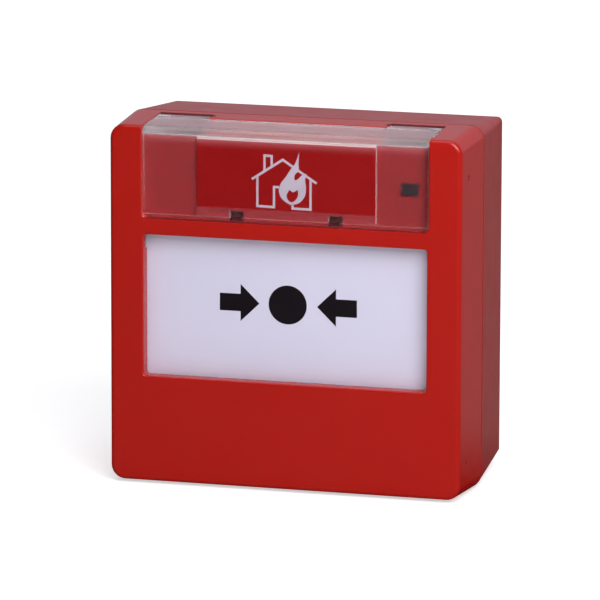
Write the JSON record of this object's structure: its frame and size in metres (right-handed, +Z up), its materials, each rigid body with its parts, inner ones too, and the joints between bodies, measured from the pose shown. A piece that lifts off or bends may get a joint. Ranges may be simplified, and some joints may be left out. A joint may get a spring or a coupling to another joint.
{
  "type": "manual call point",
  "caption": "Square red wall box with a recessed white press pane marked by a dot and two arrows, under a clear window over a fire symbol.",
  "frame": {"origin": "centre of the flat back face, on the wall", "axes": "+Z up, +X to the right as the user faces it, -Y out of the wall towards the user, +Y into the wall"},
  "size_m": [0.087, 0.0464, 0.087],
  "materials": {
    "box_plastic": "moulded ABS with a fine even texture, slightly duller than the cover",
    "cover_plastic": "glossy moulded ABS with a faint orange-peel surface",
    "chassis_plastic": "moulded plastic, fine texture",
    "carrier_plastic": "moulded plastic, smooth",
    "pane_plastic": "white moulded plastic, satin",
    "label_film": "printed film, satin, with a soft print grain",
    "flag_plastic": "yellow with black diagonal stripes, satin",
    "clear_plastic": "clear polycarbonate, polished in the middle and frosted at the sides",
    "insert_plastic": "deep red printed card with a white core, glossy",
    "smoked_lens": "dark smoked lens, polished",
    "zinc_steel": "bright zinc plate, turned",
    "spring_steel": "drawn spring wire and strip, bright",
    "board_laminate": "green solder mask with tracks and pads",
    "terminal_plastic": "green moulded plastic",
    "switch_plastic": "black moulded plastic",
    "plunger_plastic": "red moulded plastic",
    "led_lens": "tinted clear epoxy",
    "component_body": "lacquered components with tinned ends",
    "dial_body_plastic": "light grey moulded plastic",
    "dial_plastic": "orange moulded plastic with an arrow slot",
    "barrel_plastic": "black glass-filled nylon"
  },
  "bodies": {
    "housing": {"back_box": "box_plastic", "chassis": "chassis_plastic", "chassis_screws": "zinc_steel", "circuit_board": "board_laminate", "board_screws": "zinc_steel", "terminal_block_left": "terminal_plastic", "terminal_block_right": "terminal_plastic", "terminal_screws": "zinc_steel", "microswitch_body": "switch_plastic", "status_led": "led_lens", "controller_chip": "switch_plastic", "board_components": "component_body", "address_switch_bodies": "dial_body_plastic", "pane_springs": "spring_steel", "reset_spring": "spring_steel"},
    "cover": {"front_cover": "cover_plastic", "window_hinge_pins": "spring_steel", "symbol_insert": "insert_plastic", "indicator_lens": "smoked_lens"},
    "window": {"clear_window": "clear_plastic"},
    "pane": {"pane_carrier": "carrier_plastic", "operating_pane": "pane_plastic", "pane_label": "label_film"},
    "flag": {"alarm_flag": "flag_plastic"},
    "leaf": {"switch_leaf": "spring_steel"},
    "plunger": {"switch_plunger": "plunger_plastic"},
    "key_barrel": {"reset_barrel": "barrel_plastic", "barrel_clip": "zinc_steel"},
    "dial_hundreds": {"address_dial_hundreds": "dial_plastic"},
    "dial_tens": {"address_dial_tens": "dial_plastic"},
    "dial_ones": {"address_dial_ones": "dial_plastic"}
  },
  "joints": [
    {"name": "cover_hinge", "type": "hinge", "parent": "housing", "child": "cover", "pos_m": [0, -0.0282, 0.0435], "axis": [-1, 0, 0], "range_deg": [0, 70]},
    {"name": "window_hinge", "type": "hinge", "parent": "cover", "child": "window", "pos_m": [0, -0.0328, 0.04165], "axis": [-1, 0, 0], "range_deg": [0, 75]},
    {"name": "pane_press", "type": "slide", "parent": "housing", "child": "pane", "axis": [0, 1, 0], "range_m": [0, 0.0025], "stiffness_N_per_m": 2000, "springref_m": -0.003, "deforming": ["pane_springs"]},
    {"name": "flag_drop", "type": "slide", "parent": "housing", "child": "flag", "axis": [0, 0, -1], "range_m": [0, 0.0036]},
    {"name": "leaf_tilt", "type": "hinge", "parent": "housing", "child": "leaf", "pos_m": [-0.0058, -0.0369, 0], "axis": [0, 0, 1], "range_deg": [0, 4.2]},
    {"name": "plunger_travel", "type": "slide", "parent": "housing", "child": "plunger", "axis": [0, 1, 0], "range_m": [0, 0.0004]},
    {"name": "key_turn", "type": "hinge", "parent": "housing", "child": "key_barrel", "pos_m": [0, -0.0338, -0.035], "axis": [0, 0, -1], "range_deg": [0, 90], "stiffness_Nm_per_rad": 0.01},
    {"name": "dial_hundreds_turn", "type": "hinge", "parent": "housing", "child": "dial_hundreds", "pos_m": [-0.017, -0.033, 0.029], "axis": [0, -1, 0], "continuous": true},
    {"name": "dial_tens_turn", "type": "hinge", "parent": "housing", "child": "dial_tens", "pos_m": [-0.006, -0.033, 0.029], "axis": [0, -1, 0], "continuous": true},
    {"name": "dial_ones_turn", "type": "hinge", "parent": "housing", "child": "dial_ones", "pos_m": [0.005, -0.033, 0.029], "axis": [0, -1, 0], "continuous": true}
  ],
  "couplings": [
    {"joint": "flag_drop", "follows": "pane_press", "ratio": 1.44},
    {"joint": "leaf_tilt", "follows": "pane_press", "rad_per_m": 29.3},
    {"joint": "plunger_travel", "follows": "pane_press", "ratio": 0.16}
  ]
}
